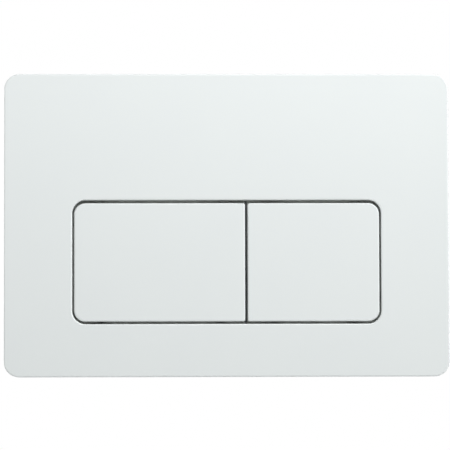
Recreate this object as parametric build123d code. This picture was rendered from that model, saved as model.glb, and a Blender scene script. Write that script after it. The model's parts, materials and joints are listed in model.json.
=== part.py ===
from build123d import *
import math
import os

# A dual-flush button plate for a cistern built into a wall: a moulded front plate, two hinged
# buttons, the spring plungers that they press, and the frame that holds it all to the cistern.
# X runs to the right, Z up and Y into the wall. The wall's face is Y = 0, and the middle of the
# plate is X = Z = 0. All sizes are in millimetres.

# Front plate
plate_width = 220.0
plate_height = 150.0
plate_depth = 8.0  # front face to the wall
plate_corner = 7.5
plate_edge_round = 1.0
face_wall = 2.4
skirt_wall = 2.2
plate_rib = 1.2
plate_rib_setback = 1.2  # ribs stop this far in front of the wall

# Window and the gaps round the buttons
window_width = 152.7
window_height = 61.25
window_sill = 26.1  # lower edge of the plate to the lower edge of the window
window_corner = 6.5
window_edge_round = 0.5
collar_wall = 1.6
collar_setback = 0.6  # collar stops this far in front of the wall
side_gap = 0.95
top_gap = 1.55
bottom_gap = 1.25
divider_gap = 1.3

# Buttons
full_button_width = 84.4
button_wall = 2.2
button_rim = 1.6
button_edge_round = 0.5
button_inner_corner = 1.0  # corners beside the divider
button_rib = 1.2
button_rib_setback = 4.5  # ribs stop this far short of the rim's rear edge
hollow_corner = 0.4
press_angle = 6.0  # degrees, from rest to the stop

# Hinge
axle_diameter = 3.0
axle_rise = 6.25  # axle above the window's upper edge
axle_setback = 2.8  # axle behind the wall's face
eye_wall = 1.7
arm_inset = 12.0  # end of a button to the middle of its hinge arm
arm_thickness = 5.0
arm_root = 19.0  # length of the arm's foot on the back of the button
arm_neck = 4.4  # depth of the arm where it passes behind the collar
lug_thickness = 3.0
lug_foot = 9.5  # lug's foot above the axle
end_play = 0.4  # arm to lug
running_clearance = 0.05  # moving bores, on the radius
seat_clearance = 0.02  # fixed bores, on the radius
ring_groove_depth = 0.3
ring_thickness = 0.6
ring_band = 1.8
ring_mouth = 2.0
ring_play = 0.1
axle_overhang = 1.2  # axle past its ring

# Flange that stops each button behind the collar, and its rubber buffers
flange_thickness = 2.2
flange_reach = 2.0  # past the window's edge
buffer_thickness = 1.2
buffer_width = 6.0
buffer_gap = 0.3  # buffer to collar
buffer_stem_radius = 0.5

# Plungers
rod_spacing = 76.0
rod_height = -26.0  # Z of both rods
rod_diameter = 5.0
rod_tip = 60.0  # Y of the free end
rod_chamfer = 0.8
boss_diameter = 11.0
boss_wall = 1.4
boss_reach = 2.0  # Y of the boss's end
contact_gap = 0.3
dome_radius = 14.0
head_diameter = 13.0
head_rim = 1.6
head_hub_diameter = 8.0
head_hub_length = 3.0
head_cap = 1.7  # material in front of the rod's end
lock_nut_width = 8.0  # across flats
lock_nut_height = 2.7
spring_wire = 1.0
spring_inside = 10.4  # inside diameter
spring_turns = 4.5
spring_steps = 14  # straight steps in a turn
spring_sides = 6  # sides of the wire
spring_play = 0.05
stop_clearance = 0.3  # lock nut to guide at the end of the press
slide_clearance = 0.15

# Mounting frame
bolt_margin = 10.5  # middle of a bolt to the frame's side
pocket_margin = 4.1  # clip pocket to the frame's side
frame_height = 122.0
frame_corner = 7.0
frame_front = 3.0  # Y of the frame's front edge
frame_back = 20.0  # Y of the frame's rear face
frame_wall = 2.0
frame_web = 3.0
frame_edge_round = 1.2  # round the rear face
opening_margin = 5.5  # rib round the openings to the clip pockets
opening_corner = 5.0
centre_bar = 12.0  # upright behind the divider
opening_rib = 1.6
opening_rib_depth = 5.0
beam_height = 28.0  # beam that carries the plunger guides
upper_bar = 10.0  # frame's upper edge to the upper opening
lower_bar = 9.0
guide_wall = 2.1
guide_tail = 12.0  # guide behind the frame's rear face
guide_fin = 1.4
guide_fin_reach = 5.0

# Catch posts on the plate, and the steel clips in the frame that hold them
post_clearance = 4.65  # post to the flange beside it
post_spacing_z = 88.0
post_width = 9.0
post_thickness = 2.6
post_tip = 14.0  # Y of the post's end
post_notch_depth = 0.5
post_notch_length = 2.6
post_notch_setback = 2.4  # end of the post to the notch
post_brace = 1.6
post_brace_height = 9.0
clip_thickness = 0.5
clip_width = 7.0
clip_grip_gap = 0.25  # clip to the bottom of the notch
clip_span = 8.0  # between the clip's outer faces
clip_bend = 0.9
clip_flare = 2.2
clip_play = 0.3
pocket_wall = 1.6
pocket_front = 6.0  # Y of the pocket's mouth

# Fixing bolts
bolt_spacing = 175.0
bolt_diameter = 6.0
bolt_shank_diameter = 5.3
bolt_hole_clearance = 0.3
bolt_tip = 70.0
bolt_chamfer = 1.0
bolt_head_diameter = 14.0
bolt_head_height = 6.0
bolt_head_chamfer = 0.8
bolt_flutes = 10
bolt_flute_radius = 1.4
bolt_slot_width = 1.8
bolt_slot_depth = 2.0
bolt_boss_diameter = 15.0
bolt_boss_front = 9.5  # Y of the boss's front face
washer_thickness = 1.2
washer_diameter = 13.0
bolt_nut_width = 10.0
bolt_nut_height = 6.0
nut_land = 0.25  # flat of a nut to the round land on its end
nut_chamfer_angle = 30.0  # degrees

# Places that follow from the sizes above
plate_front = -plate_depth
face_back = plate_front + face_wall
plate_rib_back = -plate_rib_setback
plate_inner_width = plate_width - 2 * skirt_wall
plate_inner_height = plate_height - 2 * skirt_wall
window_bottom = window_sill - plate_height / 2
window_top = window_bottom + window_height
window_middle = (window_bottom + window_top) / 2
window_left = -window_width / 2
collar_back = -collar_setback

button_bottom = window_bottom + bottom_gap
button_top = window_top - top_gap
button_face_back = plate_front + button_wall
flange_front = collar_back + buffer_gap + buffer_thickness
flange_back = flange_front + flange_thickness
button_rib_back = flange_back - button_rib_setback
button_outer_corner = window_corner - side_gap
full_left = window_left + side_gap
full_right = full_left + full_button_width
half_left = full_right + divider_gap
half_right = -window_left - side_gap

axle_radius = axle_diameter / 2
axle_y = axle_setback
axle_z = window_top + axle_rise
eye_radius = axle_radius + running_clearance + eye_wall
full_arms = (full_left + arm_inset, full_right - arm_inset)
half_arms = (half_left + arm_inset, half_right - arm_inset)
lug_offset = arm_thickness / 2 + end_play + lug_thickness / 2
lugs = (
    full_arms[0] - lug_offset,
    full_arms[1] + lug_offset,
    half_arms[0] - lug_offset,
    half_arms[1] + lug_offset,
)
ring_offset = lug_thickness / 2 + ring_play

buffer_bottom = window_bottom - flange_reach
buffer_top = window_bottom
buffer_middle = (buffer_bottom + buffer_top) / 2

full_rod_x = -rod_spacing / 2
half_rod_x = rod_spacing / 2
rod_radius = rod_diameter / 2
head_apex = boss_reach + contact_gap
head_radius = head_diameter / 2
head_edge = head_apex + dome_radius - math.sqrt(dome_radius**2 - head_radius**2)
head_back = head_edge + head_rim
hub_back = head_back + head_hub_length
rod_front = head_apex + head_cap
lock_nut_back = hub_back + lock_nut_height
press = math.radians(press_angle)
lever = axle_z - rod_height
pad_offset = dome_radius + head_apex - axle_y
plunger_travel = lever * math.tan(press) + pad_offset * (1 / math.cos(press) - 1)

web_front = frame_back - frame_web
frame_top = frame_height / 2
beam_middle = rod_height
beam_top = beam_middle + beam_height / 2
beam_bottom = beam_middle - beam_height / 2
upper_opening = (beam_top, frame_top - upper_bar)
lower_opening = (-frame_top + lower_bar, beam_bottom)
opening_rib_front = web_front - opening_rib_depth
guide_bore = rod_radius + slide_clearance
guide_radius = guide_bore + guide_wall
guide_front = lock_nut_back + plunger_travel + stop_clearance
guide_back = frame_back + guide_tail

post_spacing_x = window_width + 2 * (flange_reach + post_clearance) + post_width
posts = [(x * post_spacing_x / 2, z * post_spacing_z / 2) for x in (-1, 1) for z in (1, -1)]
notch_back = post_tip - post_notch_setback
notch_front = notch_back - post_notch_length
notch_middle = (notch_front + notch_back) / 2
clip_inside = clip_span / 2 - clip_thickness / 2
clip_grip = post_thickness / 2 - post_notch_depth + clip_grip_gap + clip_thickness / 2
pocket_inside_z = clip_span + 2 * clip_play
pocket_inside_x = post_width + 2 * clip_play
pocket_half_width = pocket_inside_x / 2 + pocket_wall
opening_width = post_spacing_x - 2 * (pocket_half_width + opening_margin + opening_rib)
frame_side_at_posts = post_spacing_x / 2 + pocket_half_width + pocket_margin
frame_side_at_bolts = bolt_spacing / 2 + bolt_margin
frame_width = 2 * max(frame_side_at_posts, frame_side_at_bolts)

bolts = (-bolt_spacing / 2, bolt_spacing / 2)
bolt_radius = bolt_diameter / 2
bolt_shank_radius = bolt_shank_diameter / 2
bolt_hole = bolt_radius + bolt_hole_clearance
washer_front = bolt_boss_front - washer_thickness
bolt_head_front = washer_front - bolt_head_height
bolt_nut_back = frame_back + bolt_nut_height


# Ways to make a solid

def slab(outline, front, back):
    # an outline in X and Z, given depth along Y
    return extrude(Plane.XZ.offset(-back) * outline, amount=back - front)


def upright(outline, middle, thickness):
    # an outline in Y and Z, given thickness along X
    return extrude(Plane.YZ.offset(middle - thickness / 2) * outline, amount=thickness)


def turned(points, x, z):
    # a profile of radius and Y, turned about a line along Y
    profile = make_face(Polyline(*points, close=True))
    return Pos(x, 0, z) * revolve(profile, Axis.Y)


def strip(left, right, bottom, top):
    # a rectangle in X and Z by its edges
    return Pos((left + right) / 2, (bottom + top) / 2) * Rectangle(right - left, top - bottom)


def panel(left, right, bottom, top, left_corner, right_corner):
    # a rectangle with its own corner radius on each side
    outline = strip(left, right, bottom, top)
    outline = fillet(outline.vertices().group_by(Axis.X)[0], left_corner)
    return fillet(outline.vertices().sort_by(Axis.X)[-2:], right_corner)


def hexagon_nut(width, bore, front, back, x, z):
    # a hexagon with its corners turned off at both ends
    outline = RegularPolygon(width / 2, 6, major_radius=False) - Circle(bore)
    nut = slab(Pos(x, z) * outline, front, back)
    corner = width / math.sqrt(3)
    land = width / 2 - nut_land
    rise = (corner - land) * math.tan(math.radians(nut_chamfer_angle))
    points = [
        (0, front),
        (land, front),
        (corner, front + rise),
        (corner, back - rise),
        (land, back),
        (0, back),
    ]
    return nut & turned(points, x, z)


def window_outline(grow=0.0):
    width, height = window_width + 2 * grow, window_height + 2 * grow
    return Pos(0, window_middle) * RectangleRounded(width, height, window_corner + grow)


# Front plate

def plate_ribs():
    # uprights behind each lug, and cross ribs at the posts and beside the window
    half_width, half_height = plate_inner_width / 2, plate_inner_height / 2
    ribs = Sketch()
    for x in lugs:
        ribs += strip(x - plate_rib / 2, x + plate_rib / 2, -half_height, half_height)
    for z in (window_middle, posts[0][1], posts[1][1]):
        ribs += strip(-half_width, half_width, z - plate_rib / 2, z + plate_rib / 2)
    return slab(ribs, face_back, plate_rib_back)


def hinge_lug(x):
    # a gusset from the back of the face, closing round the axle
    foot = Line((face_back, window_top + collar_wall / 2), (face_back, axle_z + lug_foot))
    outline = make_hull([foot, *(Pos(axle_y, axle_z) * Circle(eye_radius)).edges()])
    return upright(outline, x, lug_thickness)


def catch_post(x, z):
    # a notched blade with a brace across its root
    half = post_thickness / 2
    waist = half - post_notch_depth
    lead = post_notch_depth
    side = [
        (face_back, half),
        (notch_front, half),
        (notch_front + lead, waist),
        (notch_back - lead, waist),
        (notch_back, half),
        (post_tip - lead, half),
        (post_tip, waist),
    ]
    points = side + [(y, -offset) for y, offset in reversed(side)]
    blade = upright(Pos(0, z) * make_face(Polyline(*points, close=True)), x, post_width)
    brace = slab(Pos(x, z) * Rectangle(post_brace, post_brace_height), face_back, frame_front)
    return blade + brace


def front_plate():
    outline = RectangleRounded(plate_width, plate_height, plate_corner)
    plate = slab(outline, plate_front, 0)
    plate = fillet(plate.faces().sort_by(Axis.Y)[0].edges(), plate_edge_round)
    inner = RectangleRounded(plate_inner_width, plate_inner_height, plate_corner - skirt_wall)
    plate -= slab(inner, face_back, 0)
    plate += slab(window_outline(collar_wall), face_back, collar_back)
    plate += plate_ribs()
    for x in lugs:
        plate += hinge_lug(x)
    for x, z in posts:
        plate += catch_post(x, z)
    plate -= slab(window_outline(), plate_front, collar_back)
    front = plate.faces().sort_by(Axis.Y)[0]
    plate = fillet(front.inner_wires()[0].edges(), window_edge_round)
    return plate - axle_bore(seat_clearance)


def axle_bore(clearance):
    length = plate_width
    return Pos(0, axle_y, axle_z) * Rot(0, 90, 0) * Cylinder(axle_radius + clearance, length)


# Buttons

def hinge_arm(x):
    # a foot on the back of the face, a neck behind the collar and an eye on the axle
    eye = Pos(axle_y, axle_z) * Circle(eye_radius)
    neck_y = flange_front + arm_neck / 2
    neck = Pos(neck_y, button_top - arm_neck) * Circle(arm_neck / 2)
    arm = make_hull([*eye.edges(), *neck.edges()])
    foot_top = button_top - button_rim
    foot_bottom = foot_top - arm_root
    foot = make_hull(
        [Line((button_face_back, foot_bottom), (button_face_back, foot_top)), *neck.edges()]
    )
    return upright(arm + foot, x, arm_thickness)


def push_boss(x):
    # a ring with a cross inside it, so that the face shows no sink mark
    boss_radius = boss_diameter / 2
    ring = Circle(boss_radius) - Circle(boss_radius - boss_wall)
    cross = Rectangle(boss_diameter - boss_wall, boss_wall)
    cross += Rectangle(boss_wall, boss_diameter - boss_wall)
    return slab(Pos(x, rod_height) * (ring + cross), button_face_back, boss_reach)


def button_ribs(left, right, arms, rod_x):
    # uprights below each arm and through the boss, and cross ribs between them
    ribs = Sketch()
    half = button_rib / 2
    for x in (*arms, rod_x):
        ribs += strip(x - half, x + half, button_bottom, button_top)
    for z in (rod_height, (rod_height + button_top) / 2):
        ribs += strip(left, right, z - half, z + half)
    core = Pos(rod_x, rod_height) * Circle(boss_diameter / 2 - boss_wall / 2)
    return slab(ribs - core, button_face_back, button_rib_back)


def button_outline(left, right, outer_side, inset, outer_corner, inner_corner):
    # a button's outline, or that of the hollow behind it
    corners = (outer_corner, inner_corner) if outer_side < 0 else (inner_corner, outer_corner)
    return panel(left + inset, right - inset, button_bottom + inset, button_top - inset, *corners)


def flange_outline(left, right, outer_side):
    # reaches behind the collar on every side but the divider's
    outer_edge = outer_side * (window_width / 2 + flange_reach)
    corner = window_corner + flange_reach
    bottom, top = window_bottom - flange_reach, window_top + flange_reach
    if outer_side < 0:
        return panel(outer_edge, right, bottom, top, corner, hollow_corner)
    return panel(left, outer_edge, bottom, top, hollow_corner, corner)


def button(left, right, outer_side, arms, rod_x):
    # outer_side is -1 for the button at the left of the window and 1 for the one at the right
    outline = button_outline(left, right, outer_side, 0, button_outer_corner, button_inner_corner)
    shell = slab(outline, plate_front, flange_back)
    shell = fillet(shell.faces().sort_by(Axis.Y)[0].edges(), button_edge_round)
    shell += slab(flange_outline(left, right, outer_side), flange_front, flange_back)
    inner_corner = max(button_outer_corner - button_rim, hollow_corner)
    inner = button_outline(left, right, outer_side, button_rim, inner_corner, hollow_corner)
    shell -= slab(inner, button_face_back, flange_back)
    shell += button_ribs(left + button_rim / 2, right - button_rim / 2, arms, rod_x)
    shell += push_boss(rod_x)
    for x in arms:
        shell += hinge_arm(x)
        stem_hole = Pos(x, buffer_middle) * Circle(buffer_stem_radius + seat_clearance)
        shell -= slab(stem_hole, flange_front, flange_back)
    return shell - axle_bore(running_clearance)


def stop_buffer(x):
    # a rubber pad in front of the flange, held by its stem
    pad = strip(x - buffer_width / 2, x + buffer_width / 2, buffer_bottom, buffer_top)
    stem = Pos(x, buffer_middle) * Circle(buffer_stem_radius)
    pad = slab(pad, flange_front - buffer_thickness, flange_front)
    return pad + slab(stem, flange_front, flange_back)


# Hinge

def ring_places():
    # X of the inner face of each retaining ring, and which way is outwards
    return ((lugs[0] - ring_offset, -1), (lugs[-1] + ring_offset, 1))


def hinge_axle():
    left, right = (x + way * (ring_thickness + axle_overhang) for x, way in ring_places())
    axle = upright(Pos(axle_y, axle_z) * Circle(axle_radius), (left + right) / 2, right - left)
    groove = Circle(axle_radius) - Circle(axle_radius - ring_groove_depth)
    for x, way in ring_places():
        middle = x + way * ring_thickness / 2
        axle -= upright(Pos(axle_y, axle_z) * groove, middle, ring_thickness + ring_play)
    return axle


def axle_retaining_rings():
    inside = axle_radius - ring_groove_depth + seat_clearance
    band = Circle(inside + ring_band) - Circle(inside)
    mouth = Pos(inside + ring_band, 0) * Rectangle(2 * (inside + ring_band), ring_mouth)
    outline = Pos(axle_y, axle_z) * (band - mouth)
    return [upright(outline, x + way * ring_thickness / 2, ring_thickness) for x, way in ring_places()]


# Plungers

def push_rod(x):
    tip_radius = rod_radius - rod_chamfer
    points = [
        (0, rod_front),
        (rod_radius, rod_front),
        (rod_radius, rod_tip - rod_chamfer),
        (tip_radius, rod_tip),
        (0, rod_tip),
    ]
    return turned(points, x, rod_height)


def rod_head(x):
    # a domed head with a hub behind it that takes the end of the rod
    hub_radius = head_hub_diameter / 2
    bore = rod_radius + seat_clearance
    dome_middle = head_apex + dome_radius
    half_angle = math.asin(head_radius / dome_radius) / 2
    dome_side = (
        dome_radius * math.sin(half_angle),
        dome_middle - dome_radius * math.cos(half_angle),
    )
    dome = ThreePointArc((0, head_apex), dome_side, (head_radius, head_edge))
    rest = Polyline(
        (head_radius, head_edge),
        (head_radius, head_back),
        (hub_radius, head_back),
        (hub_radius, hub_back),
        (bore, hub_back),
        (bore, rod_front),
        (0, rod_front),
        (0, head_apex),
    )
    profile = make_face([*dome.edges(), *rest.edges()])
    return Pos(x, 0, rod_height) * revolve(profile, Axis.Y)


def rod_lock_nut(x):
    bore = rod_radius + seat_clearance
    return hexagon_nut(lock_nut_width, bore, hub_back, lock_nut_back, x, rod_height)


def return_spring(x):
    # a coil between the head's flange and the beam
    wire_radius = spring_wire / 2
    coil_radius = spring_inside / 2 + wire_radius
    length = web_front - head_back - spring_wire - 2 * spring_play
    helix = Helix(length / spring_turns, length, coil_radius)
    steps = round(spring_turns * spring_steps)
    path = Polyline(*[helix @ (step / steps) for step in range(steps + 1)])
    section = Plane(origin=path @ 0, z_dir=path % 0) * RegularPolygon(wire_radius, spring_sides)
    coil = sweep(section, path, transition=Transition.RIGHT)
    return Pos(x, web_front - spring_play - wire_radius, rod_height) * Rot(90, 0, 0) * coil


# Mounting frame

def openings(grow=0.0):
    # two openings above the beam and two below it, parted by the bar behind the divider
    divider = (full_right + half_left) / 2
    sides = (
        (-opening_width / 2, divider - centre_bar / 2),
        (divider + centre_bar / 2, opening_width / 2),
    )
    outlines = Sketch()
    for left, right in sides:
        for bottom, top in (upper_opening, lower_opening):
            size = (right - left + 2 * grow, top - bottom + 2 * grow)
            middle = Pos((left + right) / 2, (bottom + top) / 2)
            outlines += middle * RectangleRounded(*size, opening_corner + grow)
    return outlines


def plunger_guide(x):
    # a tube through the beam, with fins behind it
    tube = slab(Pos(x, rod_height) * Circle(guide_radius), guide_front, guide_back)
    reach = guide_radius + guide_fin_reach
    fin = make_face(
        Polyline((frame_back, -reach), (frame_back, reach), (guide_back, 0), close=True)
    )
    fins = upright(Pos(0, rod_height) * fin, x, guide_fin)
    flat_fin = extrude(
        Plane.XY.offset(rod_height - guide_fin / 2)
        * make_face(
            Polyline(
                (x - reach, frame_back), (x + reach, frame_back), (x, guide_back), close=True
            )
        ),
        amount=guide_fin,
    )
    return tube + fins + flat_fin


def clip_pocket(x, z):
    outer = Rectangle(pocket_inside_x + 2 * pocket_wall, pocket_inside_z + 2 * pocket_wall)
    inner = Rectangle(pocket_inside_x, pocket_inside_z)
    return slab(Pos(x, z) * (outer - inner), pocket_front, web_front)


def bolt_boss(x):
    # a boss joined to the frame's wall by two ribs
    boss_radius = bolt_boss_diameter / 2
    outline = Pos(x, 0) * Circle(boss_radius)
    wall_x = math.copysign(frame_width / 2 - frame_wall / 2, x)
    left, right = min(x, wall_x), max(x, wall_x)
    for z in (-1, 1):
        rib_z = z * (boss_radius - opening_rib / 2)
        outline += strip(left, right, rib_z - opening_rib / 2, rib_z + opening_rib / 2)
    return slab(outline, bolt_boss_front, web_front)


def mounting_frame():
    outline = RectangleRounded(frame_width, frame_height, frame_corner)
    inner = RectangleRounded(
        frame_width - 2 * frame_wall, frame_height - 2 * frame_wall, frame_corner - frame_wall
    )
    frame = slab(outline, frame_front, frame_back)
    frame = fillet(frame.faces().sort_by(Axis.Y)[-1].edges(), frame_edge_round)
    frame -= slab(inner, frame_front, web_front)
    frame += slab(openings(opening_rib), opening_rib_front, web_front)
    frame -= slab(openings(), opening_rib_front, frame_back)
    for x in (full_rod_x, half_rod_x):
        frame += plunger_guide(x)
    for x, z in posts:
        frame += clip_pocket(x, z)
    for x in bolts:
        frame += bolt_boss(x)
    holes = Sketch()
    for x in (full_rod_x, half_rod_x):
        holes += Pos(x, rod_height) * Circle(guide_bore)
    for x in bolts:
        holes += Pos(x, 0) * Circle(bolt_hole)
    return frame - slab(holes, frame_front, guide_back)


def frame_clip(x, z):
    # a folded steel strip: a base on the frame, and two arms that spring into the post's notch
    base_y = web_front - clip_thickness / 2
    mouth_y = notch_front - clip_flare
    arm = [(notch_middle, clip_grip), (mouth_y, clip_grip + clip_flare)]
    side = [(base_y, clip_inside), ((base_y + notch_middle) / 2, clip_inside), *arm]
    points = [(y, -offset) for y, offset in reversed(side)] + side
    path = FilletPolyline(*[Vector(x, y, z + offset) for y, offset in points], radius=clip_bend)
    section = Plane(origin=path @ 0, x_dir=(1, 0, 0), z_dir=path % 0)
    return sweep(section * Rectangle(clip_width, clip_thickness), path)


# Fixing bolts

def fixing_bolt(x):
    # a thumb head with a driver slot, a plain shank and a threaded end
    head_radius = bolt_head_diameter / 2
    flutes = PolarLocations(head_radius, bolt_flutes) * Circle(bolt_flute_radius)
    head = slab(Pos(x, 0) * (Circle(head_radius) - flutes), bolt_head_front, washer_front)
    crown = [
        (0, bolt_head_front),
        (head_radius - bolt_head_chamfer, bolt_head_front),
        (head_radius, bolt_head_front + bolt_head_chamfer),
        (head_radius, washer_front),
        (0, washer_front),
    ]
    head &= turned(crown, x, 0)
    slot = Pos(x, 0) * Rectangle(bolt_head_diameter, bolt_slot_width)
    head -= slab(slot, bolt_head_front, bolt_head_front + bolt_slot_depth)
    points = [
        (0, washer_front),
        (bolt_shank_radius, washer_front),
        (bolt_shank_radius, bolt_nut_back),
        (bolt_radius, bolt_nut_back),
        (bolt_radius, bolt_tip - bolt_chamfer),
        (bolt_radius - bolt_chamfer, bolt_tip),
        (0, bolt_tip),
    ]
    return head + turned(points, x, 0)


def fixing_washer(x):
    outline = Circle(washer_diameter / 2) - Circle(bolt_hole)
    return slab(Pos(x, 0) * outline, washer_front, bolt_boss_front)


def fixing_nut(x):
    bore = bolt_shank_radius + seat_clearance
    return hexagon_nut(bolt_nut_width, bore, frame_back, bolt_nut_back, x, 0)


# Every piece by name

def all_pieces():
    pieces = {
        "front_plate": front_plate(),
        "full_flush_button": button(full_left, full_right, -1, full_arms, full_rod_x),
        "half_flush_button": button(half_left, half_right, 1, half_arms, half_rod_x),
        "hinge_axle": hinge_axle(),
        "axle_retaining_rings": Compound(children=axle_retaining_rings()),
        "mounting_frame": mounting_frame(),
        "fixing_bolts": Compound(children=[fixing_bolt(x) for x in bolts]),
        "fixing_washers": Compound(children=[fixing_washer(x) for x in bolts]),
        "fixing_nuts": Compound(children=[fixing_nut(x) for x in bolts]),
    }
    for name, arms in (("full", full_arms), ("half", half_arms)):
        for side, x in zip(("left", "right"), arms):
            pieces[f"{name}_buffer_{side}"] = stop_buffer(x)
    for name, x in (("full", full_rod_x), ("half", half_rod_x)):
        pieces[f"{name}_push_rod"] = push_rod(x)
        pieces[f"{name}_rod_head"] = rod_head(x)
        pieces[f"{name}_rod_lock_nut"] = rod_lock_nut(x)
        pieces[f"{name}_return_spring"] = return_spring(x)
    for x, z in posts:
        corner = f"{'upper' if z > 0 else 'lower'}_{'left' if x < 0 else 'right'}"
        pieces[f"frame_clip_{corner}"] = frame_clip(x, z)
    return pieces


os.makedirs("parts", exist_ok=True)
for name, piece in all_pieces().items():
    export_step(piece, f"parts/{name}.step")
print("plunger travel", round(plunger_travel, 4), "mm at", press_angle, "degrees")
print("travel ratio", round(plunger_travel / press / 1000, 6), "metres per radian")
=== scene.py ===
import json
import math
import bmesh
import bpy
from mathutils import Matrix, Vector


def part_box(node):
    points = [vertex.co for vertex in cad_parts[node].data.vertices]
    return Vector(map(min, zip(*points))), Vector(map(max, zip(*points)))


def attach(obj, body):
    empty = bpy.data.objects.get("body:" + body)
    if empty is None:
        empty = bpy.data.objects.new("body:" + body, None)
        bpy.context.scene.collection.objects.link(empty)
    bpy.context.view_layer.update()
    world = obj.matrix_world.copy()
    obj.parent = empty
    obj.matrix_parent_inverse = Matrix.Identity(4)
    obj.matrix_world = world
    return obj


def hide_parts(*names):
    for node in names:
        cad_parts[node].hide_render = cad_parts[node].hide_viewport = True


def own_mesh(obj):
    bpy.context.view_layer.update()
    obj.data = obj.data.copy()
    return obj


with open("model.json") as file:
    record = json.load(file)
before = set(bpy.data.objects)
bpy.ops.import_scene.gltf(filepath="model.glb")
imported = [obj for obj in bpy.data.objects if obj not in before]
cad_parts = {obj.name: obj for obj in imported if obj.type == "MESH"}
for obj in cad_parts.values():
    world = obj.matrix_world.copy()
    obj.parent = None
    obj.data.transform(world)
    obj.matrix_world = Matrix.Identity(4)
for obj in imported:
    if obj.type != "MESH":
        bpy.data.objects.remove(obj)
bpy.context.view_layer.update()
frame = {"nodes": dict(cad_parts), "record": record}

scene = bpy.context.scene
scene.view_settings.view_transform = "Standard"
nodes = frame["nodes"]
mm = 0.001
hairline = 0.001 * mm  # points closer than this are one
buttonSides = ("full", "half")
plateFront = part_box("front_plate")[0].y


# Tools for node trees and pieces

def linear(hexColour):  # sRGB hex to the linear colour that a socket takes
    shares = [int(hexColour[place:place + 2], 16) / 255 for place in (1, 3, 5)]
    return [s / 12.92 if s <= 0.04045 else ((s + 0.055) / 1.055) ** 2.4 for s in shares] + [1.0]


def addNode(tree, kind, inputs=None, **settings):  # an input takes a value, or a socket to link
    added = tree.nodes.new(kind)
    for setting, value in settings.items():
        setattr(added, setting, value)
    for socket, value in (inputs or {}).items():
        if isinstance(value, bpy.types.NodeSocket):
            tree.links.new(value, added.inputs[socket])
        else:
            added.inputs[socket].default_value = value
    return added


def patternScale(size):  # texture scale for a pattern of this size in millimetres
    return 1 / (size * mm)


def startMaterial(name, sockets):  # a surface, and the Object coordinates that its patterns read
    material = bpy.data.materials.new(name)
    material.use_nodes = True
    tree = material.node_tree
    tree.nodes.clear()
    surface = addNode(tree, "ShaderNodeBsdfPrincipled", sockets)
    addNode(tree, "ShaderNodeOutputMaterial", {"Surface": surface.outputs[0]})
    place = addNode(tree, "ShaderNodeTexCoord").outputs["Object"]
    return material, tree, surface, place


def startTree(name, inputs):  # a Geometry Nodes tree with a named input for each size
    tree = bpy.data.node_groups.new(name, "GeometryNodeTree")
    tree.interface.new_socket("Geometry", in_out="OUTPUT", socket_type="NodeSocketGeometry")
    for label, kind in inputs.items():
        tree.interface.new_socket(label, in_out="INPUT", socket_type="NodeSocket" + kind)
    return tree, addNode(tree, "NodeGroupInput").outputs


def endTree(tree, shape, material):
    single = addNode(tree, "GeometryNodeRealizeInstances", {"Geometry": shape}).outputs[0]
    painted = addNode(tree, "GeometryNodeSetMaterial", {"Geometry": single, "Material": material})
    addNode(tree, "NodeGroupOutput", {0: painted.outputs[0]})


def runTree(name, tree, values, points=None):  # keeps a tree's result as a plain mesh
    piece = bpy.data.objects.new(name, points or bpy.data.meshes.new(name))
    scene.collection.objects.link(piece)
    modifier = piece.modifiers.new(tree.name, "NODES")
    modifier.node_group = tree
    for socket in tree.interface.items_tree:
        if socket.in_out == "INPUT" and socket.name in values:
            modifier[socket.identifier] = values[socket.name]
    graph = bpy.context.evaluated_depsgraph_get()
    mesh = bpy.data.meshes.new_from_object(piece.evaluated_get(graph), depsgraph=graph)
    piece.modifiers.remove(modifier)
    piece.data = mesh
    smoothen(mesh)
    return piece


def smoothen(mesh, sharpAngle=35):  # round stretches shade smoothly, corners stay sharp
    mesh.shade_smooth()
    mesh.set_sharp_from_angle(angle=math.radians(sharpAngle))


def settle(piece, body, slot, *replaced):  # on its body, for the solids it stands for; the slot is not used
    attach(piece, body)
    if replaced:
        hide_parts(*replaced)


# White ABS of the plate and the buttons

whiteAbsLook = {
    "colour": "#E7ECEB",
    "deepColour": "#E4E9E9",
    # painted shade: a darker white for everything behind the polished front, so that the gaps and the back
    # read darker
    "paintedShadeColour": "#D8DBD8",
    "ior": 1.53,
    "showRoughness": (0.27, 0.36),
    "coreRoughness": (0.5, 0.62),
    "polishedDepth": 1.4,  # mm behind the front face that the polish reaches, and where the painted shade begins
    "polishFade": 0.5,
    "plateCorner": 7.5,  # mm, of the plate's outline
    "polishedSkin": 1.0,  # mm, the outside of the skirt is polished too, and left without the painted shade
    "glossPatch": 34.0,  # mm, slow drift of gloss and tone
    "orangePeel": 2.2,  # mm, drawn coarser than the real 0.5 mm, so that it shows
    "peelHeight": 0.006,  # mm
    "sparkGrain": 0.8,  # mm, drawn coarser than the real 0.05 mm, so that it shows
    "grainHeight": 0.09,
}


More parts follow.
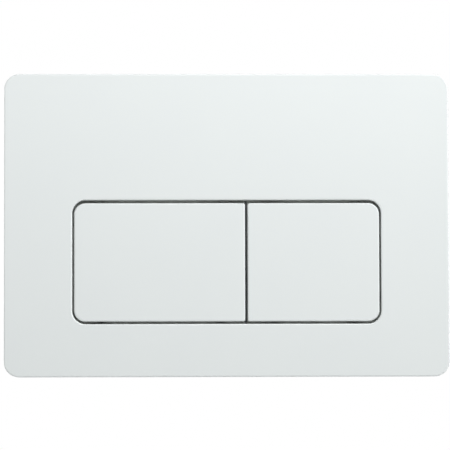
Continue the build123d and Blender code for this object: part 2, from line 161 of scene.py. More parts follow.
def whiteAbs(look):
    # injection-moulded ABS: an even, cool white. The show side comes off a polished mould face with
    # a soft gloss and a faint orange peel, and the core side off a spark-eroded one, dull and grainy.
    # The core side is also painted a darker white: painted shade that darkens the gaps and the back of the
    # plate.
    material, tree, surface, place = startMaterial("white_moulded_abs", {"IOR": look["ior"]})
    depth = addNode(tree, "ShaderNodeSeparateXYZ", {0: place}).outputs["Y"]
    polishEnd = plateFront + look["polishedDepth"] * mm
    fadeEnd = polishEnd + look["polishFade"] * mm
    behind = addNode(tree, "ShaderNodeMapRange", {0: depth, 1: polishEnd, 2: fadeEnd}).outputs[0]

    # how far a point lies past the straight part of the plate's outline, up to the corner radius
    corner = look["plateCorner"] * mm
    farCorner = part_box("front_plate")[1]
    straight = (farCorner.x - corner, 0, farCorner.z - corner)
    flat = addNode(tree, "ShaderNodeVectorMath", {0: place, 1: (1, 0, 1)}, operation="MULTIPLY").outputs[0]
    flat = addNode(tree, "ShaderNodeVectorMath", {0: flat}, operation="ABSOLUTE").outputs[0]
    past = addNode(tree, "ShaderNodeVectorMath", {0: flat, 1: straight}, operation="SUBTRACT").outputs[0]
    past = addNode(tree, "ShaderNodeVectorMath", {0: past, 1: (0, 0, 0)}, operation="MAXIMUM").outputs[0]
    reach = addNode(tree, "ShaderNodeVectorMath", {0: past}, operation="LENGTH").outputs["Value"]
    skin = corner - look["polishedSkin"] * mm
    inside = addNode(tree, "ShaderNodeMath", {0: reach, 1: skin}, operation="LESS_THAN").outputs[0]
    # mask of the core side: it sets the dull, grainy finish and also carries the painted shade
    coreSideAndShade = addNode(tree, "ShaderNodeMath", {0: behind, 1: inside}, operation="MULTIPLY").outputs[0]
    patch = {"Vector": place, "Scale": patternScale(look["glossPatch"]), "Detail": 2.0}
    drift = addNode(tree, "ShaderNodeTexNoise", patch).outputs[0]
    tones = {0: drift, 6: linear(look["colour"]), 7: linear(look["deepColour"])}
    colour = addNode(tree, "ShaderNodeMix", tones, data_type="RGBA").outputs[2]
    # painted shade: behind the polished front the colour turns darker, which darkens the gaps
    sides = {0: coreSideAndShade, 6: colour, 7: linear(look["paintedShadeColour"])}
    colour = addNode(tree, "ShaderNodeMix", sides, data_type="RGBA").outputs[2]
    showLow, showHigh = look["showRoughness"]
    coreLow, coreHigh = look["coreRoughness"]
    show = addNode(tree, "ShaderNodeMapRange", {0: drift, 3: showLow, 4: showHigh}).outputs[0]
    core = addNode(tree, "ShaderNodeMapRange", {0: drift, 3: coreLow, 4: coreHigh}).outputs[0]
    roughness = addNode(tree, "ShaderNodeMix", {0: coreSideAndShade, 2: show, 3: core}).outputs[0]
    peel = {"Vector": place, "Scale": patternScale(look["orangePeel"]), "Detail": 1.0}
    peelNoise = addNode(tree, "ShaderNodeTexNoise", peel).outputs[0]
    peelBump = addNode(tree, "ShaderNodeBump", {"Distance": look["peelHeight"] * mm, "Height": peelNoise})
    grain = {"Vector": place, "Scale": patternScale(look["sparkGrain"]), "Detail": 3.0}
    grainNoise = addNode(tree, "ShaderNodeTexNoise", grain).outputs[0]
    grainBump = addNode(tree, "ShaderNodeBump", {
        "Strength": coreSideAndShade,
        "Distance": look["grainHeight"] * mm,
        "Height": grainNoise,
        "Normal": peelBump.outputs[0],
    })
    tree.links.new(colour, surface.inputs["Base Color"])
    tree.links.new(roughness, surface.inputs["Roughness"])
    tree.links.new(grainBump.outputs[0], surface.inputs["Normal"])
    return material


# Other moulded plastics and the rubber, which share one make-up

greyPolypropyleneLook = {
    "name": "grey_moulded_polypropylene",
    "colour": "#94989B",
    "deepColour": "#7D8185",
    "ior": 1.49,
    "roughness": (0.46, 0.62),
    "cloud": 18.0,  # mm, cloudy flow marks
    "grain": 1.1,  # mm, eroded mould grain, drawn coarser than the real 0.1 mm, so that it shows
    "grainHeight": 0.16,
}
naturalAcetalLook = {
    "name": "natural_moulded_acetal",
    "colour": "#E6E3DA",
    "deepColour": "#D9D5C8",
    "ior": 1.48,
    "roughness": (0.3, 0.42),
    "cloud": 6.0,
    "grain": 0.6,
    "grainHeight": 0.012,
}
blueAcetalLook = {
    "name": "blue_moulded_acetal",
    "colour": "#2F639F",
    "deepColour": "#285791",
    "ior": 1.48,
    "roughness": (0.3, 0.44),
    "cloud": 5.0,
    "grain": 0.6,
    "grainHeight": 0.015,
}
blackRubberLook = {
    "name": "black_moulded_rubber",
    "colour": "#1D1E1F",
    "deepColour": "#2A2B2C",
    "ior": 1.52,
    "roughness": (0.68, 0.85),
    "cloud": 3.0,  # mm, the faint grey bloom on the surface
    "grain": 0.4,
    "grainHeight": 0.03,
}


def mouldedPlastic(look):
    # polypropylene is waxy and dull with cloudy flow marks, acetal smoother with a silky gloss, the
    # rubber matt with a grey bloom; each shows the grain of its mould.
    material, tree, surface, place = startMaterial(look["name"], {"IOR": look["ior"]})
    cloud = {"Vector": place, "Scale": patternScale(look["cloud"]), "Detail": 3.0, "Distortion": 0.6}
    cloudNoise = addNode(tree, "ShaderNodeTexNoise", cloud).outputs[0]
    tones = {0: cloudNoise, 6: linear(look["colour"]), 7: linear(look["deepColour"])}
    colour = addNode(tree, "ShaderNodeMix", tones, data_type="RGBA").outputs[2]
    low, high = look["roughness"]
    roughness = addNode(tree, "ShaderNodeMapRange", {0: cloudNoise, 3: low, 4: high}).outputs[0]
    grain = {"Vector": place, "Scale": patternScale(look["grain"]), "Detail": 3.0}
    grainNoise = addNode(tree, "ShaderNodeTexNoise", grain).outputs[0]
    bump = addNode(tree, "ShaderNodeBump", {"Distance": look["grainHeight"] * mm, "Height": grainNoise})
    tree.links.new(colour, surface.inputs["Base Color"])
    tree.links.new(roughness, surface.inputs["Roughness"])
    tree.links.new(bump.outputs[0], surface.inputs["Normal"])
    return material


# Metals, which share one make-up too

stainlessLook = {
    "name": "drawn_stainless_steel",
    "colour": "#BCBCBB",
    "deepColour": "#A3A3A2",
    "roughness": (0.22, 0.36),
    "streak": (18.0, 0.25, 0.25),  # mm along X, Y and Z: die lines run along the axle
    "streakHeight": 0.006,
}
springSteelLook = {
    "name": "rolled_spring_steel",
    "colour": "#9C9A98",
    "deepColour": "#83827F",
    "roughness": (0.3, 0.45),
    "streak": (0.4, 8.0, 8.0),  # mm: rolling lines run along the strip
    "streakHeight": 0.008,
}
zincLook = {
    "name": "zinc_plated_steel",
    "colour": "#B3B9BF",
    "deepColour": "#98A2AB",
    "roughness": (0.3, 0.46),
    "streak": (3.0, 3.0, 3.0),  # mm: the cloudy blue passivation has no direction
    "streakHeight": 0.01,
}


def plainMetal(look):
    # drawn stainless is bright with fine lines along the wire, rolled spring steel is darker with
    # lines along the strip, and zinc plate is a cloudy, bluish silver.
    material, tree, surface, place = startMaterial(look["name"], {"Metallic": 1.0})
    scales = [patternScale(size) for size in look["streak"]]
    stretched = addNode(tree, "ShaderNodeMapping", {"Vector": place, "Scale": scales}).outputs[0]
    lines = {"Vector": stretched, "Scale": 1.0, "Detail": 4.0}
    streaks = addNode(tree, "ShaderNodeTexNoise", lines).outputs[0]
    tones = {0: streaks, 6: linear(look["colour"]), 7: linear(look["deepColour"])}
    colour = addNode(tree, "ShaderNodeMix", tones, data_type="RGBA").outputs[2]
    low, high = look["roughness"]
    roughness = addNode(tree, "ShaderNodeMapRange", {0: streaks, 3: low, 4: high}).outputs[0]
    bump = addNode(tree, "ShaderNodeBump", {"Distance": look["streakHeight"] * mm, "Height": streaks})
    tree.links.new(colour, surface.inputs["Base Color"])
    tree.links.new(roughness, surface.inputs["Roughness"])
    tree.links.new(bump.outputs[0], surface.inputs["Normal"])
    return material


finishes = {
    "white_abs": whiteAbs(whiteAbsLook),
    "grey_polypropylene": mouldedPlastic(greyPolypropyleneLook),
    "natural_acetal": mouldedPlastic(naturalAcetalLook),
    "blue_acetal": mouldedPlastic(blueAcetalLook),
    "black_rubber": mouldedPlastic(blackRubberLook),
    "stainless_steel": plainMetal(stainlessLook),
    "spring_steel": plainMetal(springSteelLook),
    "zinc_plated_steel": plainMetal(zincLook),
}
for part in frame["record"]["subparts"]:
    nodes[part["node"]].data.materials[0] = finishes[part["material_slot"]]
print("finishes:", len(finishes))


# Front edges of the plate and the buttons

frontEdges = {
    "round": 0.7,  # mm, on every front edge, as the light along them shows it
    "outerRound": 1.0,  # mm, in the solids, on the plate's outline
    "gapRound": 0.5,  # mm, in the solids, along the gaps
    "pieces": {
        "front_plate": "plate_and_frame",
        "full_flush_button": "full_button",
        "half_flush_button": "half_button",
    },
}
buttonBoxes = [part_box(f"{side}_flush_button") for side in buttonSides]
buttonsLow = [min(box[0][axis] for box in buttonBoxes) for axis in range(3)]
buttonsHigh = [max(box[1][axis] for box in buttonBoxes) for axis in range(3)]


def evenEdged(name, body, look):
    # a copy of the moulding: each point of a rounding moves to or from the corner where wall and
    # face would meet, so that the arc changes its radius and keeps its normals
    mesh = nodes[name].data.copy()
    mesh.name = f"{name}_even_edged"
    kept = mesh.attributes.new("solidNormal", "FLOAT_VECTOR", "CORNER")
    parts = [part for normal in mesh.corner_normals for part in normal.vector]
    kept.data.foreach_set("vector", parts)
    shape = bmesh.new()
    shape.from_mesh(mesh)
    bmesh.ops.remove_doubles(shape, verts=shape.verts, dist=hairline)
    shape.normal_update()
    moves = []
    for vert in shape.verts:
        besideGap = all(buttonsLow[axis] < vert.co[axis] < buttonsHigh[axis] for axis in (0, 2))
        solidRound = look["gapRound" if besideGap else "outerRound"] * mm
        depth = vert.co.y - plateFront
        if depth < solidRound + hairline:
            slope = 1 - depth / solidRound
            inset = solidRound * (1 - math.sqrt(max(1 - slope ** 2, 0)))
            outwards = Vector((vert.normal.x, 0, vert.normal.z)).normalized()
            grow = look["round"] * mm / solidRound - 1
            moves.append((vert, (Vector((0, depth, 0)) - inset * outwards) * grow))
    for vert, move in moves:
        vert.co += move
    shape.to_mesh(mesh)
    shape.free()
    kept = mesh.attributes["solidNormal"]
    mesh.normals_split_custom_set([entry.vector.copy() for entry in kept.data])
    mesh.attributes.remove(mesh.attributes["solidNormal"])
    piece = bpy.data.objects.new(mesh.name, mesh)
    scene.collection.objects.link(piece)
    settle(piece, body, "white_abs", name)


for pieceName, pieceBody in frontEdges["pieces"].items():
    evenEdged(pieceName, pieceBody, frontEdges)
print("front edges: plate and buttons")


# Threaded ends of the fixing bolts and the push rods

threadInputs = {
    "Start": "Float",
    "Length": "Float",
    "Plain Length": "Float",
    "Crest Radius": "Float",
    "Root Radius": "Float",
    "Pitch": "Float",
    "Chamfer": "Float",
    "Steps Around": "Int",
    "Steps Along Pitch": "Int",
    "First X": "Float",
    "Z": "Float",
    "Copies": "Int",
    "Spacing": "Float",
    "Material": "Material",
}
threadProfile = {"steepness": 1.6, "rootFlat": 0.3}  # of the flanks, in shares of the thread's depth


def threadTree():
    # a sheet rolled into a tube: each row follows the helix, so the ridge is clean, and the first and
    # last rows close on the axis
    tree, size = startTree("threadedRod", threadInputs)
    turns = addNode(tree, "ShaderNodeMath", {
        0: size["Length"], 1: size["Pitch"],
    }, operation="DIVIDE").outputs[0]
    # two spare turns for the slant of the rows, one last row, and a closing row at each end
    spareTurns, extraRows = 2.0, 3.0
    wholeTurns = addNode(tree, "ShaderNodeMath", {0: turns, 1: spareTurns}, operation="ADD").outputs[0]
    rows = addNode(tree, "ShaderNodeMath", {
        0: wholeTurns, 1: size["Steps Along Pitch"], 2: extraRows,
    }, operation="MULTIPLY_ADD").outputs[0]
    rows = addNode(tree, "ShaderNodeMath", {0: rows}, operation="CEIL").outputs[0]
    columns = addNode(tree, "ShaderNodeMath", {0: size["Steps Around"], 1: 1.0}, operation="ADD").outputs[0]
    sheet = addNode(tree, "GeometryNodeMeshGrid", {
        "Size X": 1.0, "Size Y": 1.0, "Vertices X": columns, "Vertices Y": rows,
    }).outputs[0]
    position = addNode(tree, "GeometryNodeInputPosition").outputs[0]
    spot = addNode(tree, "ShaderNodeSeparateXYZ", {0: position})
    around = addNode(tree, "ShaderNodeMath", {0: spot.outputs["X"], 1: 0.5}, operation="ADD").outputs[0]
    along = addNode(tree, "ShaderNodeMath", {0: spot.outputs["Y"], 1: 0.5}, operation="ADD").outputs[0]
    lastRow = addNode(tree, "ShaderNodeMath", {0: rows, 1: 1.0}, operation="SUBTRACT").outputs[0]
    row = addNode(tree, "ShaderNodeMath", {0: along, 1: lastRow}, operation="MULTIPLY").outputs[0]
    row = addNode(tree, "ShaderNodeMath", {0: row, 1: 1.0}, operation="SUBTRACT").outputs[0]
    turn = addNode(tree, "ShaderNodeMath", {
        0: row, 1: size["Steps Along Pitch"],
    }, operation="DIVIDE").outputs[0]
    sheared = addNode(tree, "ShaderNodeMath", {0: turn, 1: around}, operation="ADD").outputs[0]
    sheared = addNode(tree, "ShaderNodeMath", {0: sheared, 1: 1.0}, operation="SUBTRACT").outputs[0]
    reach = addNode(tree, "ShaderNodeMath", {0: sheared, 1: size["Pitch"]}, operation="MULTIPLY").outputs[0]
    reach = addNode(tree, "ShaderNodeMath", {0: reach, 1: 0.0}, operation="MAXIMUM").outputs[0]
    reach = addNode(tree, "ShaderNodeMath", {0: reach, 1: size["Length"]}, operation="MINIMUM").outputs[0]

    # ridge height, from 0 at the root to 1 at the crest
    wave = addNode(tree, "ShaderNodeMath", {0: turn, 1: 0.5}, operation="PINGPONG").outputs[0]
    ridge = addNode(tree, "ShaderNodeMath", {
        0: wave, 1: 2 * threadProfile["steepness"], 2: -threadProfile["rootFlat"],
    }, operation="MULTIPLY_ADD", use_clamp=True).outputs[0]
    runIn = addNode(tree, "ShaderNodeMath", {
        0: reach, 1: size["Plain Length"],
    }, operation="SUBTRACT").outputs[0]
    runIn = addNode(tree, "ShaderNodeMath", {
        0: runIn, 1: size["Pitch"],
    }, operation="DIVIDE", use_clamp=True).outputs[0]
    ridge = addNode(tree, "ShaderNodeMath", {0: ridge, 1: runIn}, operation="MULTIPLY").outputs[0]
    height = addNode(tree, "ShaderNodeMath", {
        0: size["Crest Radius"], 1: size["Root Radius"],
    }, operation="SUBTRACT").outputs[0]
    radius = addNode(tree, "ShaderNodeMath", {
        0: ridge, 1: height, 2: size["Root Radius"],
    }, operation="MULTIPLY_ADD").outputs[0]

    # chamfered tip, and closed ends
    left = addNode(tree, "ShaderNodeMath", {0: size["Length"], 1: reach}, operation="SUBTRACT").outputs[0]
    bite = addNode(tree, "ShaderNodeMath", {0: size["Chamfer"], 1: left}, operation="SUBTRACT").outputs[0]
    bite = addNode(tree, "ShaderNodeMath", {0: bite, 1: 0.0}, operation="MAXIMUM").outputs[0]
    limit = addNode(tree, "ShaderNodeMath", {
        0: size["Crest Radius"], 1: bite,
    }, operation="SUBTRACT").outputs[0]
    radius = addNode(tree, "ShaderNodeMath", {0: radius, 1: limit}, operation="MINIMUM").outputs[0]
    fromMiddle = addNode(tree, "ShaderNodeMath", {0: spot.outputs["Y"]}, operation="ABSOLUTE").outputs[0]
    halfRow = addNode(tree, "ShaderNodeMath", {0: 0.5, 1: lastRow}, operation="DIVIDE").outputs[0]
    edge = addNode(tree, "ShaderNodeMath", {0: 0.5, 1: halfRow}, operation="SUBTRACT").outputs[0]
    inner = addNode(tree, "ShaderNodeMath", {0: fromMiddle, 1: edge}, operation="LESS_THAN").outputs[0]
    radius = addNode(tree, "ShaderNodeMath", {0: radius, 1: inner}, operation="MULTIPLY").outputs[0]

    angle = addNode(tree, "ShaderNodeMath", {0: around, 1: 2 * math.pi}, operation="MULTIPLY").outputs[0]
    sine = addNode(tree, "ShaderNodeMath", {0: angle}, operation="SINE").outputs[0]
    cosine = addNode(tree, "ShaderNodeMath", {0: angle}, operation="COSINE").outputs[0]
    x = addNode(tree, "ShaderNodeMath", {0: radius, 1: sine}, operation="MULTIPLY").outputs[0]
    z = addNode(tree, "ShaderNodeMath", {0: radius, 1: cosine}, operation="MULTIPLY").outputs[0]
    rolled = addNode(tree, "ShaderNodeCombineXYZ", {0: x, 1: reach, 2: z}).outputs[0]
    tube = addNode(tree, "GeometryNodeSetPosition", {"Geometry": sheet, "Position": rolled}).outputs[0]
    tube = addNode(tree, "GeometryNodeMergeByDistance", {"Geometry": tube, "Distance": hairline}).outputs[0]
    first = addNode(tree, "ShaderNodeCombineXYZ", {
        0: size["First X"], 1: size["Start"], 2: size["Z"],
    }).outputs[0]
    step = addNode(tree, "ShaderNodeCombineXYZ", {0: size["Spacing"]}).outputs[0]
    spots = addNode(tree, "GeometryNodeMeshLine", {
        "Count": size["Copies"], "Start Location": first, "Offset": step,
    }).outputs[0]
    copies = addNode(tree, "GeometryNodeInstanceOnPoints", {"Points": spots, "Instance": tube}).outputs[0]
    endTree(tree, copies, size["Material"])
    return tree


threads = threadTree()
boltThread = {
    "pitch": 1.0,  # mm, M6
    "depth": 0.58,
    "chamfer": 1.0,
    "stepsAround": 28,
    "stepsAlongPitch": 8,
    "overlap": 0.4,  # mm of thread inside the nut
    "cutSlack": 0.01,  # mm, for faces that lie just at the cut
}
boltMount = next(mount for mount in frame["record"]["mounts"] if mount["name"] == "cistern_bolts")


def fixingBolts(look):
    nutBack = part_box("fixing_nuts")[1].y
    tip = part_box("fixing_bolts")[1].y
    crest = boltMount["dims"]["stud_r_mm"] * mm
    spacing = boltMount["dims"]["spacing_x_mm"] * mm
    start = nutBack - look["overlap"] * mm
    threaded = runTree("fixing_bolts_threaded", threads, {
        "Start": start,
        "Length": tip - start,
        "Plain Length": look["overlap"] * mm,
        "Crest Radius": crest,
        "Root Radius": crest - look["depth"] * mm,
        "Pitch": look["pitch"] * mm,
        "Chamfer": look["chamfer"] * mm,
        "Steps Around": look["stepsAround"],
        "Steps Along Pitch": look["stepsAlongPitch"],
        "First X": -spacing / 2,
        "Z": boltMount["pos_m"][2],
        "Copies": boltMount["dims"]["count"],
        "Spacing": spacing,
        "Material": finishes["zinc_plated_steel"],
    })
    # heads and shanks come from the solids, cut off at the back of the nuts and closed there
    shape = bmesh.new()
    shape.from_mesh(nodes["fixing_bolts"].data)
    bmesh.ops.remove_doubles(shape, verts=shape.verts, dist=hairline)
    cut = nutBack - look["cutSlack"] * mm
    behind = [face for face in shape.faces if face.calc_center_median().y > cut]
    bmesh.ops.delete(shape, geom=behind, context="FACES")
    bmesh.ops.holes_fill(shape, edges=[edge for edge in shape.edges if edge.is_boundary])
    bmesh.ops.recalc_face_normals(shape, faces=shape.faces)
    shape.from_mesh(threaded.data)
    shape.to_mesh(threaded.data)
    shape.free()
    smoothen(threaded.data)
    settle(threaded, "plate_and_frame", "zinc_plated_steel", "fixing_bolts")


fixingBolts(boltThread)
rodThread = {
    "pitch": 2.2,  # mm, a coarse moulded thread, quick to set by hand
    "depth": 0.55,
    "chamfer": 0.8,
    "stepsAround": 28,
    "stepsAlongPitch": 12,
}


def pushRod(side, look):
    low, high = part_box(f"{side}_push_rod")
    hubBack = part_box(f"{side}_rod_head")[1].y
    crest = (high.z - low.z) / 2
    rod = runTree(f"{side}_push_rod_threaded", threads, {
        "Start": low.y,
        "Length": high.y - low.y,
        "Plain Length": hubBack - low.y,
        "Crest Radius": crest,
        "Root Radius": crest - look["depth"] * mm,
        "Pitch": look["pitch"] * mm,
        "Chamfer": look["chamfer"] * mm,
        "Steps Around": look["stepsAround"],
        "Steps Along Pitch": look["stepsAlongPitch"],
        "First X": (low.x + high.x) / 2,
        "Z": (low.z + high.z) / 2,
        "Copies": 1,
        "Spacing": 0.0,
        "Material": finishes["natural_acetal"],
    })
    settle(rod, f"{side}_plunger", "natural_acetal", f"{side}_push_rod")


for side in buttonSides:
    pushRod(side, rodThread)
print("threads: two fixing bolts and two push rods")


# Return springs

springInputs = {
    "Turns": "Float",
    "End Turns": "Float",
    "Length": "Float",
    "Coil Radius": "Float",
    "Wire Radius": "Float",
    "Steps": "Int",
    "Wire Sides": "Int",
    "X": "Float",
    "Back": "Float",
    "Z": "Float",
    "Material": "Material",
}


def springTree():
    # a helix whose end turns lie closed, with round wire swept along it
    tree, size = startTree("returnSpring", springInputs)
    count = addNode(tree, "ShaderNodeMath", {0: size["Steps"], 1: 1.0}, operation="ADD").outputs[0]
    line = addNode(tree, "GeometryNodeMeshLine", {"Count": count}).outputs[0]
    index = addNode(tree, "GeometryNodeInputIndex").outputs[0]
    share = addNode(tree, "ShaderNodeMath", {0: index, 1: size["Steps"]}, operation="DIVIDE").outputs[0]
    turn = addNode(tree, "ShaderNodeMath", {0: share, 1: size["Turns"]}, operation="MULTIPLY").outputs[0]
    wire = addNode(tree, "ShaderNodeMath", {
        0: size["Wire Radius"], 1: 2.0,
    }, operation="MULTIPLY").outputs[0]

    # open turns share what the closed ones leave of the length
    bothEnds = addNode(tree, "ShaderNodeMath", {
        0: size["End Turns"], 1: 2.0,
    }, operation="MULTIPLY").outputs[0]
    openTurns = addNode(tree, "ShaderNodeMath", {
        0: size["Turns"], 1: bothEnds,
    }, operation="SUBTRACT").outputs[0]
    closedRise = addNode(tree, "ShaderNodeMath", {0: bothEnds, 1: wire}, operation="MULTIPLY").outputs[0]
    openRise = addNode(tree, "ShaderNodeMath", {
        0: size["Length"], 1: closedRise,
    }, operation="SUBTRACT").outputs[0]
    pitch = addNode(tree, "ShaderNodeMath", {0: openRise, 1: openTurns}, operation="DIVIDE").outputs[0]
    opened = addNode(tree, "ShaderNodeMath", {
        0: turn, 1: size["End Turns"],
    }, operation="SUBTRACT").outputs[0]
    opened = addNode(tree, "ShaderNodeMath", {0: opened, 1: 0.0}, operation="MAXIMUM").outputs[0]
    opened = addNode(tree, "ShaderNodeMath", {0: opened, 1: openTurns}, operation="MINIMUM").outputs[0]
    closed = addNode(tree, "ShaderNodeMath", {0: turn, 1: opened}, operation="SUBTRACT").outputs[0]
    rise = addNode(tree, "ShaderNodeMath", {0: closed, 1: wire}, operation="MULTIPLY").outputs[0]
    rise = addNode(tree, "ShaderNodeMath", {
        0: opened, 1: pitch, 2: rise,
    }, operation="MULTIPLY_ADD").outputs[0]

    angle = addNode(tree, "ShaderNodeMath", {0: turn, 1: 2 * math.pi}, operation="MULTIPLY").outputs[0]
    sine = addNode(tree, "ShaderNodeMath", {0: angle}, operation="SINE").outputs[0]
    cosine = addNode(tree, "ShaderNodeMath", {0: angle}, operation="COSINE").outputs[0]
    radius, back = size["Coil Radius"], size["Back"]
    x = addNode(tree, "ShaderNodeMath", {
        0: radius, 1: cosine, 2: size["X"],
    }, operation="MULTIPLY_ADD").outputs[0]
    y = addNode(tree, "ShaderNodeMath", {0: back, 1: rise}, operation="SUBTRACT").outputs[0]
    z = addNode(tree, "ShaderNodeMath", {
        0: radius, 1: sine, 2: size["Z"],
    }, operation="MULTIPLY_ADD").outputs[0]
    helix = addNode(tree, "ShaderNodeCombineXYZ", {0: x, 1: y, 2: z}).outputs[0]
    line = addNode(tree, "GeometryNodeSetPosition", {"Geometry": line, "Position": helix}).outputs[0]
    path = addNode(tree, "GeometryNodeMeshToCurve", {"Mesh": line}).outputs[0]
    section = addNode(tree, "GeometryNodeCurvePrimitiveCircle", {
        "Resolution": size["Wire Sides"], "Radius": size["Wire Radius"],
    }).outputs[0]
    coil = addNode(tree, "GeometryNodeCurveToMesh", {
        "Curve": path, "Profile Curve": section, "Fill Caps": True,
    }).outputs[0]
    endTree(tree, coil, size["Material"])
    return tree


springs = springTree()
springLook = {
    "wire": 1.0,  # mm
    "turns": 4.5,
    "endTurns": 0.75,  # closed at each end
    "stepsPerTurn": 28,
    "wireSides": 12,
}


def returnSpring(side, look):
    low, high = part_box(f"{side}_return_spring")
    wire = look["wire"] * mm
    turns = look["turns"]
    rodLow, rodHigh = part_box(f"{side}_push_rod")
    middleX = (rodLow.x + rodHigh.x) / 2
    middleZ = (rodLow.z + rodHigh.z) / 2
    spring = runTree(f"{side}_return_spring_wound", springs, {
        "Turns": turns,
        "End Turns": look["endTurns"],
        "Length": high.y - low.y - wire,
        "Coil Radius": high.x - middleX - wire / 2,
        "Wire Radius": wire / 2,
        "Steps": round(turns * look["stepsPerTurn"]),
        "Wire Sides": look["wireSides"],
        "X": middleX,
        "Back": high.y - wire / 2,
        "Z": middleZ,
        "Material": finishes["stainless_steel"],
    })
    settle(spring, "plate_and_frame", "stainless_steel", f"{side}_return_spring")
    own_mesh(spring)


for side in buttonSides:
    returnSpring(side, springLook)
print("return springs: two")


# Marks that the moulds leave: ejector pins on the plate, the buttons and the frame, and an arrow
# on the frame that shows which way up it goes

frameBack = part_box("fixing_nuts")[0].y  # the nuts stand on the frame's rear face
markInputs = {
    "Points": "Geometry",
    "Radius": "Float",
    "Height": "Float",
    "Sides": "Int",
    "Material": "Material",
}
pinMarks = {
    "radius": 2.5,  # mm
    "height": 0.5,  # mm, half of it stands proud
    "sides": 28,
    "plateWall": 2.4,  # mm, of the plate's face
    "buttonWall": 2.2,
    "plateRows": (-0.42, -0.16, 0.2, 0.42),  # along the upper and lower edges, in shares of the width
    "plateColumns": (-0.21, 0.17),  # along the sides, in shares of the height
    "edgeInset": 8.0,  # mm from the plate's outer edge
    "buttonAcross": (0.3, 0.72),  # in shares of the button's box
    "buttonUp": (0.2, 0.72),
    # mm, X and Z on the frame: up both sides, and on its bars
    "frameSides": ((87.5, 51.0), (87.5, 23.0), (87.5, -23.0), (87.5, -51.0)),
    "frameBars": (
        (-35.2, 56.0), (44.8, 56.0), (-66.0, -26.0), (-12.0, -26.0), (66.0, -26.0), (9.65, 18.0),
    ),
}


def markTree():
    tree, size = startTree("ejectorMarks", markInputs)
    disc = addNode(tree, "GeometryNodeMeshCylinder", {
        "Vertices": size["Sides"], "Radius": size["Radius"], "Depth": size["Height"],
    }).outputs[0]
    faceBack = (math.pi / 2, 0.0, 0.0)
    copies = addNode(tree, "GeometryNodeInstanceOnPoints", {
        "Points": size["Points"], "Instance": disc, "Rotation": faceBack,
    }).outputs[0]
    endTree(tree, copies, size["Material"])
    return tree


def addMarks(name, body, slot, tree, spots, look):
    points = bpy.data.meshes.new(name)
    points.from_pydata(spots, [], [])
    marks = runTree(name, tree, {
        "Radius": look["radius"] * mm,
        "Height": look["height"] * mm,
        "Sides": look["sides"],
        "Material": finishes[slot],
    }, points)
    settle(marks, body, slot)


def ejectorMarks(look):
    tree = markTree()
    low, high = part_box("front_plate")
    inset = look["edgeInset"] * mm
    plateBack = plateFront + look["plateWall"] * mm
    spots = []
    for share in look["plateRows"]:
        x = share * (high.x - low.x)
        spots += [(x, plateBack, high.z - inset), (x, plateBack, low.z + inset)]
    for share in look["plateColumns"]:
        z = share * (high.z - low.z)
        spots += [(low.x + inset, plateBack, z), (high.x - inset, plateBack, z)]
    addMarks("plate_ejector_marks", "plate_and_frame", "white_abs", tree, spots, look)
    buttonBack = plateFront + look["buttonWall"] * mm
    for side in buttonSides:
        low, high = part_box(f"{side}_flush_button")
        spots = []
        for across in look["buttonAcross"]:
            for up in look["buttonUp"]:
                x = low.x + across * (high.x - low.x)
                spots.append((x, buttonBack, low.z + up * (high.z - low.z)))
        addMarks(f"{side}_button_ejector_marks", f"{side}_button", "white_abs", tree, spots, look)
    mirrored = [(-x, z) for x, z in look["frameSides"]]
    places = (*look["frameSides"], *mirrored, *look["frameBars"])
    spots = [(x * mm, frameBack, z * mm) for x, z in places]
    addMarks("frame_ejector_marks", "plate_and_frame", "grey_polypropylene", tree, spots, look)


ejectorMarks(pinMarks)
arrowLook = {
    "middle": (9.65, 56.0),  # mm, X and Z on the frame's rear face
    "length": 6.4,
    "shaft": 1.6,
    "head": 4.8,
    "headLength": 3.0,
    "height": 0.4,
    "sunk": 0.2,  # mm below the face
    "edgeRound": 0.15,
    "edgeSteps": 3,
}


def upArrow(look):
    half, shaft, head = look["length"] / 2, look["shaft"] / 2, look["head"] / 2
    neck = half - look["headLength"]
    outline = [
        (-shaft, -half), (shaft, -half), (shaft, neck), (head, neck),
        (0, half), (-head, neck), (-shaft, neck),
    ]
    middleX, middleZ = look["middle"]
    shape = bmesh.new()
    corners = []
    for x, z in outline:
        place = ((middleX + x) * mm, frameBack - look["sunk"] * mm, (middleZ + z) * mm)
        corners.append(shape.verts.new(place))
    base = shape.faces.new(corners)
    raised = bmesh.ops.extrude_face_region(shape, geom=[base])["geom"]
    lifted = [part for part in raised if isinstance(part, bmesh.types.BMVert)]
    bmesh.ops.translate(shape, verts=lifted, vec=(0, (look["height"] + look["sunk"]) * mm, 0))
    bmesh.ops.recalc_face_normals(shape, faces=shape.faces)
    top = [edge for edge in shape.edges if all(vert in lifted for vert in edge.verts)]
    bmesh.ops.bevel(
        shape, geom=top, offset=look["edgeRound"] * mm, segments=look["edgeSteps"], profile=0.5,
        affect="EDGES",
    )
    mesh = bpy.data.meshes.new("frame_up_arrow")
    shape.to_mesh(mesh)
    shape.free()
    mesh.materials.append(finishes["grey_polypropylene"])
    smoothen(mesh)
    arrow = bpy.data.objects.new("frame_up_arrow", mesh)
    scene.collection.objects.link(arrow)
    settle(arrow, "plate_and_frame", "grey_polypropylene")


upArrow(arrowLook)
print("mould marks: plate, buttons and frame")


# Studio

floorLook = {
    "colour": "#F0F1F1",
    "height": -0.13,  # m, below the photo's view
    "middleY": 0.03,
    "radius": 0.75,
    "fadeStart": 0.3,
    "sides": 96,
}


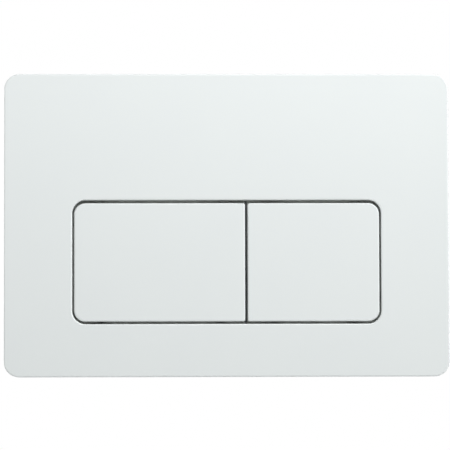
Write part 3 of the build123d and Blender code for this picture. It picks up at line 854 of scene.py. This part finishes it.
def paleFloor(look):
    # matt paper that keeps the shadow and fades into the white background
    material = bpy.data.materials.new("pale_paper_floor")
    material.use_nodes = True
    tree = material.node_tree
    tree.nodes.clear()
    place = addNode(tree, "ShaderNodeTexCoord").outputs["Object"]
    distance = addNode(tree, "ShaderNodeVectorMath", {
        0: place, 1: (0, look["middleY"], look["height"]),
    }, operation="DISTANCE").outputs["Value"]
    fade = addNode(tree, "ShaderNodeMapRange", {
        0: distance, 1: look["fadeStart"], 2: look["radius"],
    }, interpolation_type="SMOOTHSTEP").outputs[0]
    paper = addNode(tree, "ShaderNodeBsdfDiffuse", {"Color": linear(look["colour"])}).outputs[0]
    clear = addNode(tree, "ShaderNodeBsdfTransparent").outputs[0]
    faded = addNode(tree, "ShaderNodeMixShader", {0: fade, 1: paper, 2: clear}).outputs[0]
    addNode(tree, "ShaderNodeOutputMaterial", {"Surface": faded})
    shape = bmesh.new()
    middle = Matrix.Translation((0, look["middleY"], look["height"]))
    bmesh.ops.create_circle(
        shape, cap_ends=True, segments=look["sides"], radius=look["radius"], matrix=middle,
    )
    mesh = bpy.data.meshes.new("floor")
    shape.to_mesh(mesh)
    shape.free()
    mesh.materials.append(material)
    floor = bpy.data.objects.new("floor", mesh)
    floor.visible_diffuse = False  # its shine doesn't wash out the shade on the lower half of the plate
    scene.collection.objects.link(floor)


worldLook = {
    "ambient": "#FFFFFF",
    "glowSide": (-0.5, 0.3, -0.81),  # from below, a little from the left and from behind
    "glow": 0.94,
    "farSide": 0.0,
    "glowBlend": 0.2,  # each way from the border between the two sides
    "background": "#FFFFFF",
}


def studioWorld(look):
    world = bpy.data.worlds.new("studio")
    world.use_nodes = True
    tree = world.node_tree
    tree.nodes.clear()
    path = addNode(tree, "ShaderNodeLightPath").outputs
    seen = addNode(tree, "ShaderNodeMath", {
        0: path["Is Camera Ray"], 1: path["Is Glossy Ray"],
    }, operation="MAXIMUM").outputs[0]
    seen = addNode(tree, "ShaderNodeMath", {
        0: seen, 1: path["Is Transmission Ray"],
    }, operation="MAXIMUM").outputs[0]
    direction = addNode(tree, "ShaderNodeTexCoord").outputs["Generated"]
    towards = addNode(tree, "ShaderNodeVectorMath", {
        0: direction, 1: look["glowSide"],
    }, operation="DOT_PRODUCT").outputs["Value"]
    strength = addNode(tree, "ShaderNodeMapRange", {
        0: towards, 1: -look["glowBlend"], 2: look["glowBlend"], 3: look["farSide"], 4: look["glow"],
    }).outputs[0]
    ambient = addNode(tree, "ShaderNodeBackground", {
        "Color": linear(look["ambient"]), "Strength": strength,
    }).outputs[0]
    white = addNode(tree, "ShaderNodeBackground", {"Color": linear(look["background"])}).outputs[0]
    light = addNode(tree, "ShaderNodeMixShader", {0: seen, 1: ambient, 2: white}).outputs[0]
    addNode(tree, "ShaderNodeOutputWorld", {"Surface": light})
    scene.world = world


lamps = {  # places and sizes in metres; each lamp points at the middle of the plate
    "keyLamp": {"place": (0.12, -0.55, 0.58), "size": 0.5, "watts": 4.15},
    "sideLamp": {"place": (3.0, -1.5, 1.2), "size": 2.0, "watts": 88.0},
    "leftBackLamp": {"place": (-0.95, 1.15, 0.38), "size": 1.6, "watts": 9.0},
    "rightBackLamp": {"place": (0.8, 1.4, 0.42), "size": 1.6, "watts": 12.0},
}


def addLamp(name, look):
    data = bpy.data.lights.new(name, "AREA")
    data.shape = "DISK"
    data.size = look["size"]
    data.energy = look["watts"]
    lamp = bpy.data.objects.new(name, data)
    lamp.location = look["place"]
    lamp.rotation_euler = Vector(look["place"]).to_track_quat("Z", "Y").to_euler()
    lamp.visible_camera = False
    scene.collection.objects.link(lamp)


photoView = {
    "azimuth": -1.4317,  # degrees
    "elevation": -3.5136,
    "roll": -0.1533,
    "distance": 1.5,  # m
    "target": (-0.000883, -0.008, -0.0000425),
    "focalLength": 3034.8,  # pixels, with the image taken as 450 x 450
    "imageWidth": 450,
    "sensorWidth": 36.0,  # mm
}


def photoCamera(look):
    azimuth, elevation, roll = (math.radians(look[turn]) for turn in ("azimuth", "elevation", "roll"))
    flat = math.cos(elevation)
    back = Vector((math.sin(azimuth) * flat, -math.cos(azimuth) * flat, math.sin(elevation)))
    right = Vector((math.cos(azimuth), math.sin(azimuth), 0))
    up = back.cross(right)
    rolledRight = math.cos(roll) * right + math.sin(roll) * up
    rolledUp = math.cos(roll) * up - math.sin(roll) * right
    data = bpy.data.cameras.new("photoCamera")
    data.sensor_width = look["sensorWidth"]
    data.lens = look["focalLength"] / look["imageWidth"] * look["sensorWidth"]
    camera = bpy.data.objects.new("photoCamera", data)
    turned = Matrix((rolledRight, rolledUp, back)).transposed().to_4x4()
    place = Vector(look["target"]) + look["distance"] * back
    camera.matrix_world = Matrix.Translation(place) @ turned
    scene.collection.objects.link(camera)
    scene.camera = camera


paleFloor(floorLook)
studioWorld(worldLook)
for lampName, lampLook in lamps.items():
    addLamp(lampName, lampLook)
photoCamera(photoView)
print("studio: floor, world,", len(lamps), "lamps and the camera")
